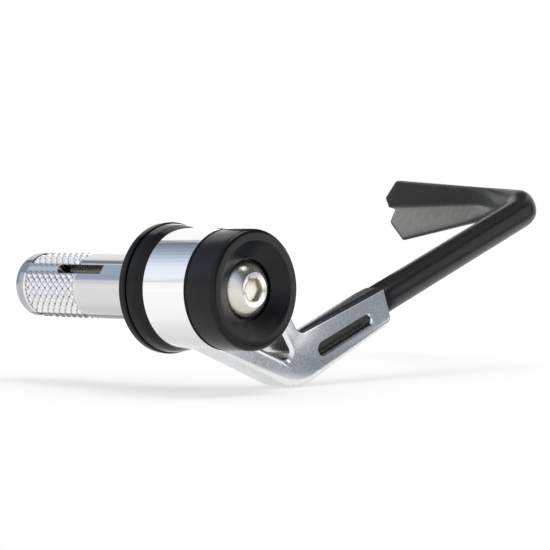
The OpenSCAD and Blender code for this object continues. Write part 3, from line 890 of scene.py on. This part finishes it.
# Soft edges of the zones that reflections show grey or dark: on the floor in metres, with the
# right one moved outward behind the object, and in the room as parts of the view's direction
FLOOR_RIGHT_X = (0.024, 0.036)
FLOOR_RIGHT_Y = (0.025, 0.045)
FLOOR_BEHIND_Y = (0.1, 0.13)
FLOOR_BEHIND_MOVE = 0.08
FLOOR_LEFT_X = (-0.06, -0.09)
FLOOR_LEFT_Y = (0.07, 0.1)
FLOOR_FAR = (0.1, 0.6)
ROOM_LEFT_X = (-0.8, -0.93)
ROOM_RIGHT_X = (-0.1, 0.25)
ROOM_RIGHT_Y = (-0.3, 0.05)
ROOM_HIGH_Z = (0.06, 0.3)

# Name, centre, facing, half-widths, colour and strength of each studio card
CARDS = (
    ("flag_arm", (-0.011, 0.060, 0.036), (-0.697, 0.521, 0.493), (0.024, 0.042), COOL_WHITE, 0.07),
    ("flag_rod", (-0.0082, 0.1071, 0.0625), (-0.5, 0.42, 0.757), (0.045, 0.025), COOL_WHITE, 0.05),
    ("flag_top", (0.01, 0.085, 0.066), (-0.1, 0.35, 0.93), (0.03, 0.05), COOL_WHITE, 0.05),
    ("fill_rod", (0.091, 0.155, 0.047), (-0.75, -0.6, -0.25), (0.05, 0.036), WHITE, 0.75),
    ("fill_bolt", (0.073, 0.04, 0.01), (-0.697, -0.717, 0.02), (0.026, 0.026), WHITE, 1.5),
    ("softbox", (-0.142, 0.155, 0.065), (-0.9, 0.11, 0.42), (0.04, 0.03), WARM_WHITE, 1.9))
SHEET_CORNERS = ((-1, -1), (1, -1), (1, 1), (-1, 1))

KEY_SPOT = (0.12, 0.2, 0.85)
KEY_AIM = (0, 0.04, 0)
KEY_SIZE = 0.5
KEY_POWER = 2.4

CAMERA_SPOT = (0.36143, -0.33407, 0.01293)
CAMERA_AIM = (-0.6967, 0.7172, -0.0199)
FOCAL_PIXELS = 2000
PHOTO_PIXELS = 550
SENSOR_MM = 36.0


def aimed(direction):
    return Vector(direction).to_track_quat("-Z", "Y").to_euler()


def stage_sheet(name, corners):
    """A flat sheet that belongs to the studio, with an empty node material. Returns both."""
    bm = bmesh.new()
    bm.faces.new([bm.verts.new(corner) for corner in corners])
    me = bpy.data.meshes.new(name)
    bm.to_mesh(me)
    bm.free()
    sheet = bpy.data.objects.new(name, me)
    bpy.context.scene.collection.objects.link(sheet)
    mat = bpy.data.materials.new(name)
    mat.use_nodes = True
    mat.node_tree.nodes.clear()
    me.materials.append(mat)
    return sheet, mat.node_tree


def make_floor():
    """White to the eye with the object's shadow on it. In reflections it is grey at the right
    and at the far left behind the object."""
    z = cad_box[0].z - FLOOR_GAP
    corners = [(x * FLOOR_HALF, y * FLOOR_HALF, z) for x, y in SHEET_CORNERS]
    tree = stage_sheet("floor", corners)[1]
    out = tree.nodes.new("ShaderNodeOutputMaterial")
    diffuse = tree.nodes.new("ShaderNodeBsdfDiffuse")
    glow = tree.nodes.new("ShaderNodeEmission")
    add = tree.nodes.new("ShaderNodeAddShader")
    path = tree.nodes.new("ShaderNodeLightPath").outputs
    spot = tree.nodes.new("ShaderNodeNewGeometry")
    split = tree.nodes.new("ShaderNodeSeparateXYZ")
    tree.links.new(spot.outputs["Position"], split.inputs[0])
    axes = split.outputs

    behind = smooth_step(tree, axes["Y"], *FLOOR_BEHIND_Y)
    moved = math_node(tree, "MULTIPLY_ADD", behind, -FLOOR_BEHIND_MOVE, axes["X"])
    side = product(tree, smooth_step(tree, moved, *FLOOR_RIGHT_X),
                   smooth_step(tree, axes["Y"], *FLOOR_RIGHT_Y), path["Is Glossy Ray"])
    back = product(tree, smooth_step(tree, axes["X"], *FLOOR_LEFT_X),
                   smooth_step(tree, axes["Y"], *FLOOR_LEFT_Y), path["Is Glossy Ray"])
    paint = mixed(tree, side, FLOOR_PAINT, FLOOR_PAINT_SIDE)
    tree.links.new(mixed(tree, back, paint, FLOOR_PAINT_BACK), diffuse.inputs["Color"])
    shine = mixed(tree, side, WHITE, SIDE_GREY)
    tree.links.new(mixed(tree, back, shine, BACK_GREY), glow.inputs["Color"])

    seen = math_node(tree, "MAXIMUM", path["Is Camera Ray"], path["Is Glossy Ray"])
    seen = math_node(tree, "MAXIMUM", seen, path["Is Transmission Ray"])
    reach = math_node(tree, "MAXIMUM", *[math_node(tree, "ABSOLUTE", axes[k]) for k in "XY"])
    level = math_node(tree, "MULTIPLY_ADD", smooth_step(tree, reach, *FLOOR_FAR),
                      FLOOR_GLOW_FAR, FLOOR_GLOW)
    tree.links.new(math_node(tree, "MULTIPLY", seen, level), glow.inputs["Strength"])
    tree.links.new(diffuse.outputs[0], add.inputs[0])
    tree.links.new(glow.outputs[0], add.inputs[1])
    tree.links.new(add.outputs[0], out.inputs["Surface"])


def make_world():
    """A pale studio: white in front, behind and to the left, a blue-grey ceiling, and dark to
    the right. The eye sees it white all round."""
    world = bpy.data.worlds.new("studio")
    bpy.context.scene.world = world
    world.use_nodes = True
    tree = world.node_tree
    tree.nodes.clear()
    out = tree.nodes.new("ShaderNodeOutputWorld")
    back = tree.nodes.new("ShaderNodeBackground")
    coord = tree.nodes.new("ShaderNodeTexCoord")
    split = tree.nodes.new("ShaderNodeSeparateXYZ")
    tree.links.new(coord.outputs["Generated"], split.inputs[0])
    axes = split.outputs
    front = math_node(tree, "MULTIPLY", axes["Y"], -1.0)
    turn = math_node(tree, "DIVIDE", math_node(tree, "ARCTAN2", axes["Z"], front), math.pi)
    ramp = tree.nodes.new("ShaderNodeValToRGB")
    fill_ramp(ramp, ROOM_STOPS)
    tree.links.new(turn, ramp.inputs["Fac"])
    left = smooth_step(tree, axes["X"], *ROOM_LEFT_X)
    room = mixed(tree, left, ramp.outputs["Color"], LEFT_GREY)
    high = smooth_step(tree, axes["Z"], *ROOM_HIGH_Z)
    aside = product(tree, smooth_step(tree, axes["X"], *ROOM_RIGHT_X),
                    smooth_step(tree, axes["Y"], *ROOM_RIGHT_Y))
    room = mixed(tree, aside, room, mixed(tree, high, SIDE_GREY, SIDE_DARK))
    path = tree.nodes.new("ShaderNodeLightPath").outputs
    room = mixed(tree, path["Is Diffuse Ray"], room, ROOM_LIGHT)
    tree.links.new(mixed(tree, path["Is Camera Ray"], room, WHITE), back.inputs["Color"])
    tree.links.new(back.outputs[0], out.inputs["Surface"])


def make_key():
    """One large soft light, above and a little behind."""
    data = bpy.data.lights.new("key", "AREA")
    data.shape = "SQUARE"
    data.size = KEY_SIZE
    data.energy = KEY_POWER
    lamp = bpy.data.objects.new("key", data)
    lamp.location = KEY_SPOT
    lamp.rotation_euler = aimed(Vector(KEY_AIM) - Vector(KEY_SPOT))
    bpy.context.scene.collection.objects.link(lamp)


def make_card(name, centre, facing, half, colour, strength):
    """A studio card that is only seen in reflections. Its first half-width lies level."""
    n = Vector(facing).normalized()
    level = n.cross(Vector((0, 0, 1))).normalized()
    across = n.cross(level)
    corners = [Vector(centre) + level * (half[0] * i) + across * (half[1] * j)
               for i, j in SHEET_CORNERS]
    card, tree = stage_sheet(name, corners)
    card.visible_camera = card.visible_diffuse = False
    card.visible_shadow = card.visible_transmission = False
    glow = tree.nodes.new("ShaderNodeEmission")
    glow.inputs["Color"].default_value = colour
    glow.inputs["Strength"].default_value = strength
    out = tree.nodes.new("ShaderNodeOutputMaterial")
    tree.links.new(glow.outputs[0], out.inputs["Surface"])


def make_camera():
    """The photograph's camera, fitted to the outlines of the round pieces."""
    data = bpy.data.cameras.new("camera")
    data.sensor_width = SENSOR_MM
    data.lens = FOCAL_PIXELS / PHOTO_PIXELS * SENSOR_MM
    data.clip_start = 0.01
    camera = bpy.data.objects.new("camera", data)
    camera.location = CAMERA_SPOT
    camera.rotation_euler = aimed(CAMERA_AIM)
    bpy.context.scene.collection.objects.link(camera)
    bpy.context.scene.camera = camera


make_floor()
make_world()
make_key()
for card in CARDS:
    make_card(*card)
make_camera()
bpy.context.scene.view_settings.view_transform = "Standard"

bpy.context.view_layer.update()
